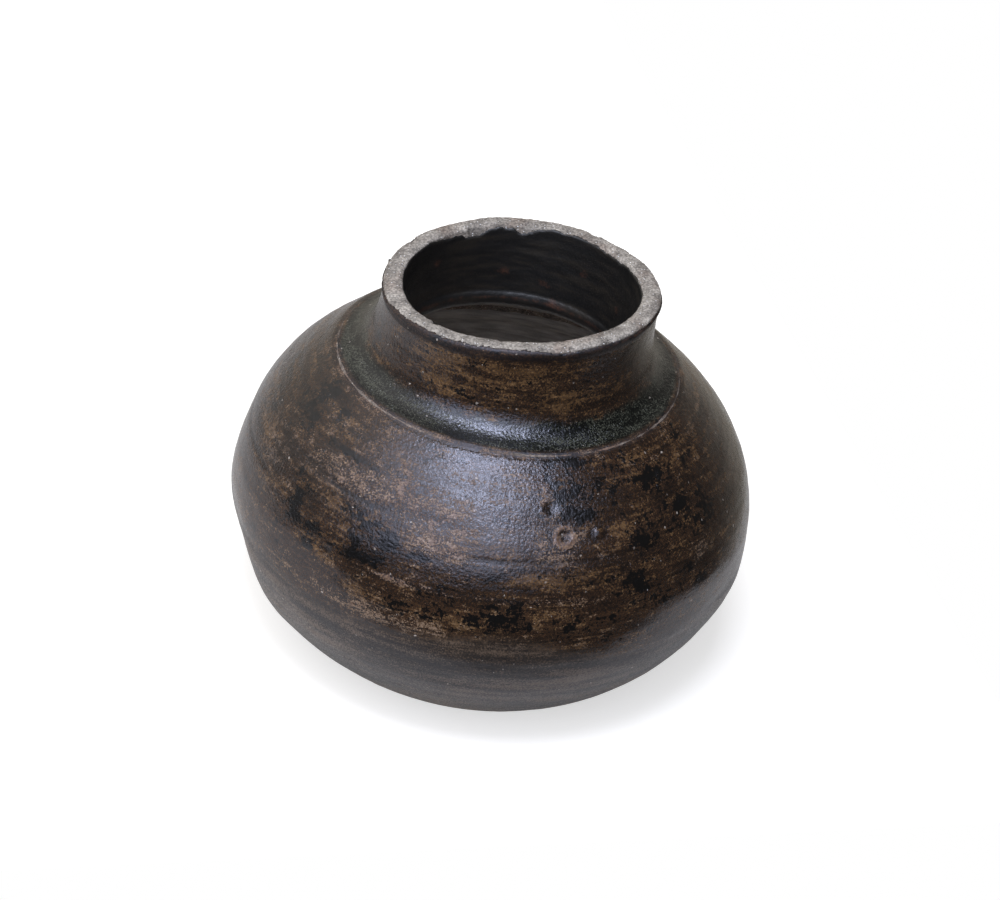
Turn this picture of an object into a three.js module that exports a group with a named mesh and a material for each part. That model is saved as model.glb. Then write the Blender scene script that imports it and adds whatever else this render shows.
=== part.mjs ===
// A small wheel-thrown stoneware jar: a squat round body, a sharp ring on the shoulder and a short
// neck, dark glazed inside and out, with a bare clay rim and a bare flat base.
// It is put together as a potter does it. A lower body, a shoulder and a neck are thrown apart and
// luted with wet clay slip, and two coats of glaze then cover the joints.
// Millimetres, +Z up, the origin at the centre of the base on the surface that the jar stands on.
import * as THREE from "three";

// Heights, stacked from the base up
const GIRTH_HEIGHT = 36;
const GIRTH_SEAM_RISE = 11;
const SHOULDER_RISE = 36;
const NECK_LENGTH = 19.1;

// Radii, measured to the bare clay: the body's own, then those that are stacked out from the bore
const BASE_RADIUS = 37.6;
const GIRTH_RADIUS = 59.5;
const BORE_RADIUS = 26;
const NECK_WALL = 3.8;
const NECK_SWELL = 1.1;
const NECK_FLARE = 3.4;
const LEDGE_WIDTH = 3.7;
const RIM_WIDTH = 4.4;

// The body's wall and floor, how steeply its curves leave the base and meet the shoulder's ring, and
// how far each curve keeps on before it bends
const WALL = 4.2;
const FLOOR = 5.2;
const BASE_BEVEL = 1.2;
const BASE_RISE_ANGLE = 33.6;
const BASE_REACH = 15.7;
const BELLY_REACH = 13.8;
const DOME_REACH = 18.3;
const SHOULDER_REACH = 11.1;
const SHOULDER_FALL_ANGLE = 38.3;

// The luted joints, the neck's thin-edged foot and its lip
const SLIP_THICKNESS = 0.3;
const SLIP_BEAD = 0.6;
const SEAT_EDGE = 1.8;
const FOOT_EDGE = 0.2;
const FOOT_FILLET = 5;
const LIP_HEIGHT = 2.2;
const LIP_ROUND = 1;
const RIM_CROWN = 0.9;

// The coats of glaze
const OUTER_GLAZE = 0.5;
const INNER_GLAZE = 0.4;
const ARRIS_GLAZE = 0.2;
const GLAZE_EDGE = 0.2;
const GLAZE_SKIRT = 1.6;

// How far the hand-made jar is out of true
const OVAL = 0.2;
const OVAL_ANGLE = 20;
const NECK_LEAN = 0.75;
const RIM_TILT = 0.055;
const RIM_WAVE = 0.6;
const RIM_WAVE_ANGLE = 120;
// How far the shoulder sank on one side under the neck, and how far round, in degrees
const SAG_DEPTH = 1.2;
const SAG_ANGLE = -55;
const SAG_REACH = 55;
// Where the soft clay was pressed in or pushed out by hand
const HANDLING_MARKS = [
  { angle: 200, height: 27, depth: -1.1, reach: 8 },
  { angle: 215, height: 16, depth: 0.7, reach: 7 },
  { angle: 177, height: 46, depth: -0.6, reach: 9 },
  { angle: 155, height: 62, depth: 0.4, reach: 8 },
  { angle: -17, height: 29, depth: 0.6, reach: 8 },
];

// Facets: steps around the jar, and along each stretch of its section
const AROUND = 48;
const BELLY_STEPS = 5;
const SEAM_STEPS = 2;
const SHOULDER_STEPS = 4;
const SEAT_STEPS = 2;
const FILLET_STEPS = 3;
const NECK_STEPS = 2;
const RIM_STEPS = 4;
const BORE_STEPS = 2;

const radians = THREE.MathUtils.degToRad;

// The jar's section is drawn in the plane of radius and height.
const at = (radius, height) => new THREE.Vector2(radius, height);

const seamHeight = GIRTH_HEIGHT + GIRTH_SEAM_RISE;
const seamBottom = seamHeight - SLIP_THICKNESS / 2;
const seamTop = seamHeight + SLIP_THICKNESS / 2;
const seatHeight = GIRTH_HEIGHT + SHOULDER_RISE;
const neckBottom = seatHeight + SLIP_THICKNESS;
const rimHeight = neckBottom + NECK_LENGTH;

const neckRadius = BORE_RADIUS + NECK_WALL;
const footRadius = neckRadius + NECK_SWELL + NECK_FLARE;
const arrisRadius = footRadius + LEDGE_WIDTH;
const rimRadius = BORE_RADIUS + RIM_WIDTH;

// The outside of the body is two curves that meet upright at the girth.
const belly = new THREE.CubicBezierCurve(
  at(BASE_RADIUS, BASE_BEVEL),
  at(
    BASE_RADIUS + BASE_REACH * Math.cos(radians(BASE_RISE_ANGLE)),
    BASE_BEVEL + BASE_REACH * Math.sin(radians(BASE_RISE_ANGLE)),
  ),
  at(GIRTH_RADIUS, GIRTH_HEIGHT - BELLY_REACH),
  at(GIRTH_RADIUS, GIRTH_HEIGHT),
);
const dome = new THREE.CubicBezierCurve(
  at(GIRTH_RADIUS, GIRTH_HEIGHT),
  at(GIRTH_RADIUS, GIRTH_HEIGHT + DOME_REACH),
  at(
    arrisRadius + SHOULDER_REACH * Math.cos(radians(SHOULDER_FALL_ANGLE)),
    seatHeight - SHOULDER_REACH * Math.sin(radians(SHOULDER_FALL_ANGLE)),
  ),
  at(arrisRadius, seatHeight),
);

// How far along a rising curve a given height is reached
function placeAtHeight(curve, height) {
  let low = 0;
  let high = 1;
  for (let i = 0; i < 40; i++) {
    const middle = (low + high) / 2;
    if (curve.getPoint(middle).y < height) low = middle;
    else high = middle;
  }
  return low;
}

// Points on a curve from one place to another, both ends included
function stretch(curve, from, to, steps) {
  return Array.from({ length: steps + 1 }, (_, i) =>
    curve.getPoint(from + ((to - from) * i) / steps),
  );
}

// A line set off to one side by a thickness: to its left as it runs, or to its right if negative.
// Its two ends can have a thickness of their own.
function setOff(line, thickness, first = thickness, last = thickness) {
  return line.map((point, i) => {
    const by = i === 0 ? first : i === line.length - 1 ? last : thickness;
    const into = line[Math.max(i, 1)].clone().sub(line[Math.max(i - 1, 0)]).normalize();
    const next = Math.min(i, line.length - 2);
    const outOf = line[next + 1].clone().sub(line[next]).normalize();
    const along = into.clone().add(outOf).normalize();
    const mitred = by / along.dot(into);
    return at(point.x - along.y * mitred, point.y + along.x * mitred);
  });
}

// The part of a rising line above a height, starting where the line crosses it
function above(line, height) {
  const first = line.findIndex((point) => point.y > height);
  const low = line[first - 1];
  const high = line[first];
  const crossing = low.clone().lerp(high, (height - low.y) / (high.y - low.y));
  return [crossing, ...line.slice(first)];
}

// The clay's outside, piece by piece
const skirtPlace = placeAtHeight(belly, BASE_BEVEL + GLAZE_SKIRT);
const bareFoot = stretch(belly, 0, skirtPlace, 1);
const glazedBelly = [
  ...stretch(belly, skirtPlace, 1, BELLY_STEPS),
  ...stretch(dome, 0, placeAtHeight(dome, seamBottom), SEAM_STEPS).slice(1),
];
const shoulderOutside = stretch(dome, placeAtHeight(dome, seamTop), 1, SHOULDER_STEPS);

// The clay's inside: the outside set in by the wall, run down to the floor and level at the seam
function lowerInsideLine() {
  const wall = setOff([...bareFoot, ...glazedBelly.slice(1)], WALL);
  const below = wall[0].clone().sub(wall[1].clone().sub(wall[0]).multiplyScalar(4));
  const line = above([below, ...wall], FLOOR);
  line.at(-1).y = seamBottom;
  return line;
}

// The shoulder's inside turns in under the seat and thins towards the bore.
function shoulderInsideLine() {
  const wall = setOff(shoulderOutside, WALL);
  wall[0].y = seamTop;
  const start = wall.at(-1);
  const end = at(BORE_RADIUS, seatHeight - SEAT_EDGE);
  const turn = at(THREE.MathUtils.lerp(end.x, start.x, 0.6), end.y);
  const underSeat = new THREE.QuadraticBezierCurve(start, turn, end);
  return [...wall, ...stretch(underSeat, 0, 1, SEAT_STEPS).slice(1)];
}

const lowerInside = lowerInsideLine();
const shoulderInside = shoulderInsideLine();

// The neck's outside from the thin edge of its foot: a fillet, a drawn-in wall and a lip
function neckOutsideLine() {
  const foot = at(footRadius, neckBottom + FOOT_EDGE);
  const wallFoot = at(neckRadius + NECK_SWELL, foot.y + FOOT_FILLET);
  const waist = at(neckRadius, rimHeight - LIP_ROUND - LIP_HEIGHT);
  const fillet = new THREE.CubicBezierCurve(
    foot,
    at(THREE.MathUtils.lerp(wallFoot.x, foot.x, 0.3), foot.y),
    at(wallFoot.x, THREE.MathUtils.lerp(foot.y, wallFoot.y, 0.4)),
    wallFoot,
  );
  const wall = new THREE.QuadraticBezierCurve(
    wallFoot,
    at(neckRadius, THREE.MathUtils.lerp(wallFoot.y, waist.y, 0.5)),
    waist,
  );
  return [
    ...stretch(fillet, 0, 1, FILLET_STEPS),
    ...stretch(wall, 0, 1, NECK_STEPS).slice(1),
    at(rimRadius, rimHeight - LIP_ROUND),
  ];
}

// The bare rim, from the outer lip over its low crown to the inner lip
function rimLine() {
  const crown = new THREE.CubicBezierCurve(
    at(rimRadius, rimHeight - LIP_ROUND),
    at(rimRadius, rimHeight + RIM_CROWN / 3),
    at(BORE_RADIUS, rimHeight + RIM_CROWN / 3),
    at(BORE_RADIUS, rimHeight - LIP_ROUND),
  );
  return stretch(crown, 0, 1, RIM_STEPS);
}

// The neck's bore, going up from the slip to the inner lip
function neckBoreLine() {
  const glazedBore = new THREE.LineCurve(
    at(BORE_RADIUS, neckBottom + SLIP_BEAD),
    at(BORE_RADIUS, rimHeight - LIP_ROUND),
  );
  return [at(BORE_RADIUS, neckBottom), ...stretch(glazedBore, 0, 1, BORE_STEPS)];
}

const neckOutside = neckOutsideLine();
const rim = rimLine();
const neckBore = neckBoreLine();

// How far round the jar a point lies from a given angle in degrees, the shorter way, in radians
function turnFrom(point, angle) {
  const turn = Math.atan2(point.y, point.x) - radians(angle);
  const positive = THREE.MathUtils.euclideanModulo(turn, 2 * Math.PI);
  return Math.min(positive, 2 * Math.PI - positive);
}

// Every piece passes through the same warp, so pieces that meet on the true jar still meet. It leaves
// the base flat and the girth's joint level.
function warped(point) {
  const angle = Math.atan2(point.y, point.x);
  const radius = Math.hypot(point.x, point.y);
  const share = Math.min(radius / arrisRadius, 1);
  const body = THREE.MathUtils.smoothstep(point.z, 0, GIRTH_HEIGHT) * share;
  const upper = THREE.MathUtils.smoothstep(point.z, seamTop, seatHeight);
  const neck = THREE.MathUtils.smoothstep(point.z, neckBottom, rimHeight);
  let out = body * OVAL * Math.cos(2 * (angle - radians(OVAL_ANGLE)));
  for (const mark of HANDLING_MARKS) {
    const across = radius * turnFrom(point, mark.angle);
    const away = Math.hypot(across, point.z - mark.height) / mark.reach;
    out += share * mark.depth * Math.exp(-away * away) * Math.min(point.z / mark.reach, 1);
  }
  const aside = turnFrom(point, SAG_ANGLE) / radians(SAG_REACH);
  const sag = SAG_DEPTH * Math.exp(-aside * aside) * share * upper * (1 - neck);
  const wave = RIM_WAVE * Math.cos(2 * (angle - radians(RIM_WAVE_ANGLE)));
  return new THREE.Vector3(
    point.x + out * Math.cos(angle) + NECK_LEAN * neck,
    point.y + out * Math.sin(angle),
    point.z - sag + neck * (RIM_TILT * point.x + wave),
  );
}

// A closed section turned about the vertical axis. Each four-sided patch is split along the diagonal
// that rises with the turn, so that two pieces split the face that they share alike.
function turned(section) {
  const geometry = new THREE.LatheGeometry(section, AROUND);
  geometry.rotateX(Math.PI / 2);
  const index = [];
  for (let i = 0; i < AROUND; i++) {
    for (let j = 0; j < section.length - 1; j++) {
      const a = i * section.length + j;
      const b = a + section.length;
      const c = b + 1;
      const d = a + 1;
      const drop = section[j].y - section[j + 1].y || section[j].x - section[j + 1].x;
      index.push(...(drop > 0 ? [a, b, c, a, c, d] : [a, b, d, c, d, b]));
    }
  }
  geometry.setIndex(index);
  return geometry;
}

function thrown(name, section, material) {
  const geometry = turned(section);
  const position = geometry.getAttribute("position");
  const point = new THREE.Vector3();
  for (let i = 0; i < position.count; i++) {
    const moved = warped(point.fromBufferAttribute(position, i));
    position.setXYZ(i, moved.x, moved.y, moved.z);
  }
  geometry.computeVertexNormals();
  const mesh = new THREE.Mesh(geometry, material);
  mesh.name = name;
  return mesh;
}

// A section that doesn't touch the axis is closed on itself.
const ring = (name, section, material) => thrown(name, [...section, section[0]], material);
const backwards = (line) => [...line].reverse();

function lowerBody() {
  const clay = new THREE.MeshStandardMaterial({ color: 0x8a8078, roughness: 0.9, metalness: 0 });
  const base = [at(0, 0), at(BASE_RADIUS - BASE_BEVEL, 0)];
  const outside = [...bareFoot, ...glazedBelly.slice(1)];
  const floor = at(0, FLOOR);
  return thrown("lower_body", [...base, ...outside, ...backwards(lowerInside), floor], clay);
}

// The slip between the two halves of the body, smoothed flush on both sides
function girthSlip() {
  const slip = new THREE.MeshStandardMaterial({ color: 0x7a6a5e, roughness: 0.95, metalness: 0 });
  const outer = [glazedBelly.at(-1), shoulderOutside[0]];
  const inner = [shoulderInside[0], lowerInside.at(-1)];
  return ring("girth_slip", [...outer, ...inner], slip);
}

// The shoulder ends in a level seat for the neck. Its outer edge is the sharp ring on the jar.
function shoulder() {
  const clay = new THREE.MeshStandardMaterial({ color: 0x857a72, roughness: 0.9, metalness: 0 });
  const seat = [at(footRadius, seatHeight), at(BORE_RADIUS, seatHeight)];
  return ring("shoulder", [...shoulderOutside, ...seat, ...backwards(shoulderInside)], clay);
}

// The slip under the neck, squeezed out into a low bead on the inside
const beadPeak = at(BORE_RADIUS - SLIP_BEAD, (seatHeight + neckBottom) / 2);

function neckSlip() {
  const slip = new THREE.MeshStandardMaterial({ color: 0x80604c, roughness: 0.95, metalness: 0 });
  const outer = [at(footRadius, seatHeight), at(footRadius, neckBottom)];
  const inner = [at(BORE_RADIUS, neckBottom), beadPeak, at(BORE_RADIUS, seatHeight)];
  return ring("neck_slip", [...outer, ...inner], slip);
}

function neck() {
  const clay = new THREE.MeshStandardMaterial({ color: 0x9a8f84, roughness: 0.9, metalness: 0 });
  const foot = at(footRadius, neckBottom);
  const bore = backwards(neckBore).slice(1);
  return ring("neck", [foot, ...neckOutside, ...rim.slice(1), ...bore], clay);
}

// The outer coat runs from the skirt above the base to the outer lip. It thins over the sharp ring
// and fills the corner where the neck's foot meets the ledge.
function outerGlaze() {
  const glaze = new THREE.MeshStandardMaterial({ color: 0x2f2621, roughness: 0.35, metalness: 0 });
  const body = [...glazedBelly, ...shoulderOutside];
  const ledge = [at(footRadius, seatHeight), at(footRadius, neckBottom)];
  const surface = [
    ...setOff(body, -OUTER_GLAZE, -GLAZE_EDGE, -ARRIS_GLAZE),
    ...setOff(neckOutside, -OUTER_GLAZE, -OUTER_GLAZE, -GLAZE_EDGE),
  ];
  const clay = [...body, ...ledge, ...neckOutside];
  return ring("outer_glaze", [...surface, ...backwards(clay)], glaze);
}

// The lining covers the floor, the wall, the seat's underside and the bore, and rounds off the bead.
function innerGlaze() {
  const glaze = new THREE.MeshStandardMaterial({ color: 0x1e1a18, roughness: 0.4, metalness: 0 });
  const wall = [at(0, FLOOR), ...lowerInside, ...shoulderInside, at(BORE_RADIUS, seatHeight)];
  const surface = [
    at(0, FLOOR + INNER_GLAZE),
    ...setOff(wall, INNER_GLAZE).slice(1, -1),
    at(beadPeak.x - INNER_GLAZE, beadPeak.y),
    ...setOff(neckBore.slice(1), INNER_GLAZE, INNER_GLAZE, GLAZE_EDGE),
  ];
  return thrown("inner_glaze", [...wall, beadPeak, ...neckBore, ...backwards(surface)], glaze);
}

const jar = new THREE.Group();
jar.add(lowerBody(), girthSlip(), shoulder(), neckSlip(), neck(), outerGlaze(), innerGlaze());

export default jar;
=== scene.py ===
import math

import bpy
import numpy as np
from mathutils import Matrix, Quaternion, Vector, noise
from mathutils.geometry import interpolate_bezier


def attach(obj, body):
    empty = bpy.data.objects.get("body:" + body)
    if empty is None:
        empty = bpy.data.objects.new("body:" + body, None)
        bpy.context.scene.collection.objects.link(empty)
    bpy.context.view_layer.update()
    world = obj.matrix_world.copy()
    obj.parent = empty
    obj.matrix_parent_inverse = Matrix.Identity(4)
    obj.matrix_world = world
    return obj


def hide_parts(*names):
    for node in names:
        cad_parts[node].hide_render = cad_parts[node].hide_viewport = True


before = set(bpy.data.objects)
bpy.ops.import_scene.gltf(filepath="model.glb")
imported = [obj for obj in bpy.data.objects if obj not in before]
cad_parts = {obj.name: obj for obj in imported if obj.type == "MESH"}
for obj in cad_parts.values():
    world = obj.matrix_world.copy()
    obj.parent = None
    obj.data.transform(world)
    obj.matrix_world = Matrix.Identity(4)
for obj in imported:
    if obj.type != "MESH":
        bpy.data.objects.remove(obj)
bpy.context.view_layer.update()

scene = bpy.context.scene
scene.view_settings.view_transform = "Standard"
bpy.ops.object.select_all(action="DESELECT")


# The lower body is a bowl thrown in coarse grey stoneware and cut off the wheel with a string. It
# is bare underneath and glazed inside and out from just above its foot.
# Sections are in millimetres of radius and height, as a potter's rib would follow them.
GIRTH_RADIUS = 59.5
GIRTH_HEIGHT = 36
SEAM_HEIGHT = 47
SEAT_HEIGHT = 72
RING_RADIUS = 38
WALL = 4.2
FLOOR = 5.2
BASE_RADIUS = 37.6
BASE_BEVEL = 1.2
BASE_RISE = math.radians(33.6)
BASE_REACH = 15.7
BELLY_REACH = 13.8
DOME_REACH = 18.3
SHOULDER_FALL = math.radians(38.3)
SHOULDER_REACH = 11.1
SKIRT_HEIGHT = 2.8
NECK_BOTTOM = 72.3
RIM_HEIGHT = 91.4
# Out of true: the body's oval, the neck's lean, the rim's slope and wave, where the shoulder sank
# under the neck, and where hands pressed the soft clay, as azimuth in degrees, height, how far out
# or in, and reach
OVAL = 0.2
OVAL_AZIMUTH = math.radians(20)
NECK_LEAN = 0.75
RIM_SLOPE = 0.055
RIM_WAVE = 0.6
RIM_WAVE_AZIMUTH = math.radians(120)
SAG_DEPTH = 1.2
SAG_AZIMUTH = -55
SAG_REACH = 55
HANDLING_MARKS = [
    (200, 27, -1.1, 8), (215, 16, 0.7, 7), (177, 46, -0.6, 9), (155, 62, 0.4, 8), (-17, 29, 0.6, 8),
]
# Steps around a piece that shows
FINE = 432
# Millimetres in a metre
MM = 1000


def line(spacing, *places):
    """Points along a straight or bent line, about a spacing apart, in radius and height."""
    points = [Vector(places[0]).to_3d()]
    for start, end in zip(places, places[1:]):
        start, end = Vector(start).to_3d(), Vector(end).to_3d()
        steps = max(1, round((end - start).length / spacing))
        points += [start.lerp(end, (i + 1) / steps) for i in range(steps)]
    return points


def curve(spacing, start, first, second, end):
    """Points along a curve with two handles, about a spacing apart, in radius and height."""
    knots = [Vector(place).to_3d() for place in (start, first, second, end)]
    rough = interpolate_bezier(*knots, 60)
    length = sum((b - a).length for a, b in zip(rough, rough[1:]))
    return interpolate_bezier(*knots, max(2, round(length / spacing) + 1))


def body_line(spacing):
    """The clay's outside from the foot to the shoulder's ring: two curves that meet at the girth."""
    rise = Vector((math.cos(BASE_RISE), math.sin(BASE_RISE))) * BASE_REACH
    fall = Vector((math.cos(SHOULDER_FALL), -math.sin(SHOULDER_FALL))) * SHOULDER_REACH
    foot = Vector((BASE_RADIUS, BASE_BEVEL))
    girth = Vector((GIRTH_RADIUS, GIRTH_HEIGHT))
    ring = Vector((RING_RADIUS, SEAT_HEIGHT))
    belly = curve(spacing, foot, foot + rise, girth - Vector((0, BELLY_REACH)), girth)
    dome = curve(spacing, girth, girth + Vector((0, DOME_REACH)), ring + fall, ring)
    return belly + dome[1:]


def set_off(points, by):
    """A line moved sideways by a distance, to its right as it runs: outwards on one that rises."""
    moved = []
    for i, point in enumerate(points):
        along = (points[min(i + 1, len(points) - 1)] - points[max(i - 1, 0)]).normalized()
        moved.append(point + Vector((along.y, -along.x, 0)) * by)
    return moved


def between(points, low, high):
    return [point for point in points if low < point.y < high]


def lengths(points):
    """How far along a line each of its points lies."""
    total = [0.0]
    for before, after in zip(points, points[1:]):
        total.append(total[-1] + (after - before).length)
    return total


def kept(piece, name, numbers):
    """Keeps a number for each vertex, for a later step or the material to read."""
    piece.data.attributes.new(name, "FLOAT", "POINT").data.foreach_set("value", numbers)


def thrown(name, shown, hidden, steps=FINE):
    """Turns a closed section on the wheel: a circle's points are set on the section, and it is spun.
    A vertex keeps how far along the section it lies, and whether it lies on the side that shows."""
    section = shown + hidden
    bpy.ops.mesh.primitive_circle_add(vertices=len(section), radius=0.05)
    piece = bpy.context.object
    piece.name = piece.data.name = name
    for vertex, point in zip(piece.data.vertices, section):
        vertex.co = (point.x / MM, 0, point.y / MM)
    kept(piece, "along", lengths(section))
    kept(piece, "shown", [1.0] * len(shown) + [0.0] * len(hidden))
    bpy.ops.object.mode_set(mode="EDIT")
    bpy.ops.mesh.select_all(action="SELECT")
    bpy.ops.mesh.spin(steps=steps, angle=2 * math.pi, center=(0, 0, 0), axis=(0, 0, 1))
    bpy.ops.mesh.select_all(action="SELECT")
    bpy.ops.mesh.remove_doubles(threshold=1e-6)
    bpy.ops.mesh.delete_loose(use_verts=True, use_edges=True)
    bpy.ops.mesh.select_all(action="SELECT")
    bpy.ops.mesh.normals_make_consistent(inside=False)
    bpy.ops.object.mode_set(mode="OBJECT")
    bpy.ops.object.shade_smooth()
    return piece


def values(piece, attribute):
    found = np.zeros(len(piece.data.vertices))
    piece.data.attributes[attribute].data.foreach_get("value", found)
    return found


def vectors(piece, which):
    found = np.zeros(len(piece.data.vertices) * 3)
    piece.data.vertices.foreach_get(which, found)
    return found.reshape(-1, 3)


def grain(places, size, seed):
    """Smooth noise from about -1 to 1 at places in millimetres, with features of a given size. A
    size may have one number for each direction."""
    scaled = places / np.array(size) + np.array((seed * 17.3, seed * 5.1, seed * 3.7))
    return np.array([noise.noise(place) for place in scaled.tolist()])


def ramped(value, low, high):
    t = np.clip((value - low) / (high - low), 0, 1)
    return t * t * (3 - 2 * t)


def rim_ripple(angle):
    """How much lower the fingers that finished the rim left it here and there, in millimetres."""
    return -0.34 * np.abs(np.sin(4.5 * angle + 1.0) * np.sin(2 * angle + 0.4))


def turn_from(angle, azimuth):
    """The shorter turn from an azimuth in degrees to an angle, with its sign, in radians."""
    return np.mod(angle - math.radians(azimuth) + math.pi, 2 * math.pi) - math.pi


def out_of_true(places):
    """Moves places, in millimetres, as the finished jar departs from a true turned form."""
    x, y, z = places.T
    angle, radius = np.arctan2(y, x), np.hypot(x, y)
    share = np.minimum(radius / RING_RADIUS, 1)
    upper = ramped(z, SEAM_HEIGHT, SEAT_HEIGHT)
    neck = ramped(z, NECK_BOTTOM, RIM_HEIGHT)
    out = ramped(z, 0, GIRTH_HEIGHT) * share * OVAL * np.cos(2 * (angle - OVAL_AZIMUTH))
    for azimuth, height, depth, reach in HANDLING_MARKS:
        away = np.hypot(radius * turn_from(angle, azimuth), z - height) / reach
        out += share * depth * np.exp(-away * away) * np.minimum(z / reach, 1)
    aside = turn_from(angle, SAG_AZIMUTH) / math.radians(SAG_REACH)
    sag = SAG_DEPTH * np.exp(-aside * aside) * share * upper * (1 - neck)
    wave = RIM_WAVE * np.cos(2 * (angle - RIM_WAVE_AZIMUTH))
    wave += rim_ripple(angle) * ramped(z, RIM_HEIGHT - 6, RIM_HEIGHT)
    return np.stack([
        x + out * np.cos(angle) + NECK_LEAN * neck,
        y + out * np.sin(angle),
        z - sag + neck * (RIM_SLOPE * x + wave),
    ], axis=1)


def shaped(piece, raised):
    """Raises each vertex along its normal, in millimetres, then puts the piece out of true."""
    places = vectors(piece, "co") * MM + vectors(piece, "normal") * raised[:, None]
    piece.data.vertices.foreach_set("co", (out_of_true(places) / MM).ravel())
    piece.data.update()


def finished(piece, node, material):
    """A piece takes a CAD node's place and its material."""
    piece.data.materials.append(material)
    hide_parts(node)
    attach(piece, "root")
    bpy.ops.object.select_all(action="DESELECT")


def linear(code):
    """An sRGB hex colour as the linear colour that a shader takes."""
    parts = [int(code[i:i + 2], 16) / 255 for i in (1, 3, 5)]
    return tuple(c / 12.92 if c <= 0.04045 else ((c + 0.055) / 1.055) ** 2.4 for c in parts) + (1.0,)


def add(tree, kind, inputs=None, stops=None, **settings):
    """Adds a shader node with its settings, its sockets' values or links, and a ramp's stops. An
    input that is a node is linked from the first of its outputs that is in use."""
    made = tree.nodes.new("ShaderNode" + kind)
    for key, value in settings.items():
        setattr(made, key, value)
    for name, value in (inputs or {}).items():
        if isinstance(value, bpy.types.Node):
            value = next(output for output in value.outputs if output.enabled)
        if isinstance(value, bpy.types.NodeSocket):
            tree.links.new(value, made.inputs[name])
        else:
            made.inputs[name].default_value = value
    for _ in (stops or [])[2:]:
        made.color_ramp.elements.new(1.0)
    for element, (place, shade) in zip(made.color_ramp.elements if stops else [], stops or []):
        element.position = place
        element.color = linear(shade) if isinstance(shade, str) else (shade,) * 3 + (1.0,)
    return made


def fresh(name):
    """A new material with an empty node tree."""
    material = bpy.data.materials.new(name)
    material.use_nodes = True
    material.node_tree.nodes.clear()
    return material, material.node_tree


def bare_clay(name, pale, dark, iron, grit_colour, roughness):
    """Bare fired stoneware, turned with the fingers and never polished. Sand and grog under half a
    millimetre across stand out of a grey body, with pits where grains fell out and stains of iron."""
    material, tree = fresh(name)
    place = add(tree, "TexCoord")
    mm = add(tree, "Mapping", {"Vector": place.outputs["Object"], "Scale": (MM, MM, MM)})
    cloud = add(tree, "TexNoise", {"Vector": mm, "Scale": 0.3, "Detail": 6.0})
    sand = add(tree, "TexNoise", {"Vector": mm, "Scale": 1.9, "Detail": 4.0})
    grog = add(tree, "TexVoronoi", {"Vector": mm, "Scale": 1.5})
    body = add(tree, "ValToRGB", {"Fac": cloud}, stops=[(0.35, dark), (0.65, pale)])
    stain = add(tree, "TexNoise", {"Vector": mm, "Scale": 0.12, "Detail": 4.0})
    rust = add(tree, "ValToRGB", {"Fac": stain}, stops=[(0.5, 0.0), (0.75, 0.6)])
    stained = add(tree, "Mix", {"Factor": rust, "A": body, "B": linear(iron)}, data_type="RGBA")
    speckle = add(tree, "ValToRGB", {"Fac": sand}, stops=[(0.4, 0.5), (0.62, 1.3)])
    sandy = add(
        tree, "Mix", {"Factor": 0.85, "A": stained, "B": speckle}, data_type="RGBA",
        blend_type="MULTIPLY",
    )
    chosen = add(tree, "SeparateColor", {"Color": grog.outputs["Color"]})
    few = add(tree, "Math", {0: chosen, 1: 0.72}, operation="GREATER_THAN")
    near = add(tree, "ValToRGB", {"Fac": grog}, stops=[(0.16, 1.0), (0.3, 0.0)])
    quartz = add(tree, "Math", {0: few, 1: near}, operation="MULTIPLY")
    gritty = add(
        tree, "Mix", {"Factor": quartz, "A": sandy, "B": linear(grit_colour)}, data_type="RGBA",
    )
    glint = add(tree, "MapRange", {"Value": quartz, "To Min": roughness, "To Max": 0.25})
    rise = add(tree, "Math", {0: quartz, 1: sand}, operation="ADD")
    bump = add(tree, "Bump", {"Height": rise, "Distance": 0.00025, "Strength": 0.9})
    clay = add(tree, "BsdfPrincipled", {"Base Color": gritty, "Roughness": glint, "Normal": bump})
    add(tree, "OutputMaterial", {"Surface": clay})
    return material


body_clay = bare_clay("bare_stoneware", "#84786c", "#5e554d", "#6e4934", "#bdb5a8", 0.9)

foot = (
    line(1.2, (0, 0), (BASE_RADIUS - BASE_BEVEL, 0))
    + line(0.4, (BASE_RADIUS - BASE_BEVEL, 0), (BASE_RADIUS, BASE_BEVEL))[1:]
    + between(body_line(0.7), BASE_BEVEL, SKIRT_HEIGHT + 2)
)
inside = between(set_off(body_line(4), -WALL), FLOOR, SEAM_HEIGHT - 1)
seam_radius = min(body_line(0.2)[100:], key=lambda point: abs(point.y - SEAM_HEIGHT)).x
hidden = (
    between(body_line(4), SKIRT_HEIGHT + 4, SEAM_HEIGHT - 1)
    + line(2, (seam_radius, SEAM_HEIGHT - 0.15), (seam_radius - WALL, SEAM_HEIGHT - 0.15))
    + inside[::-1]
    + line(6, (inside[0].x - 1.6, FLOOR), (0, FLOOR))
)
lower_body = thrown("thrown_lower_body", foot, hidden)
places = vectors(lower_body, "co") * MM
# The string's curved drag marks run across the base, and the foot's edge is rubbed and chipped.
drag = np.sin((places[:, 0] + 0.012 * (places[:, 1] - 60) ** 2) * 1.9)
under = ramped(-places[:, 2], -0.3, 0)
rough = 0.1 * grain(places, 2.5, 3) + 0.12 * grain(places, 9, 4)
raised = -0.08 + under * 0.05 * drag + rough
shaped(lower_body, values(lower_body, "shown") * np.minimum(raised, 0))
finished(lower_body, "lower_body", body_clay)


# The shoulder is thrown as a dome and luted on with slip, a creamy paste of the same clay. Glaze
# hides it and both rings of slip, so the solids from the workshop drawing stay as they are.
slip_clay = bare_clay("smoothed_clay_slip", "#7d6a5c", "#5d4a3e", "#7a4630", "#94897d", 0.95)
for node, material in (("shoulder", body_clay), ("girth_slip", slip_clay), ("neck_slip", slip_clay)):
    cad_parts[node].data.materials.clear()
    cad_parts[node].data.materials.append(material)


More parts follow.
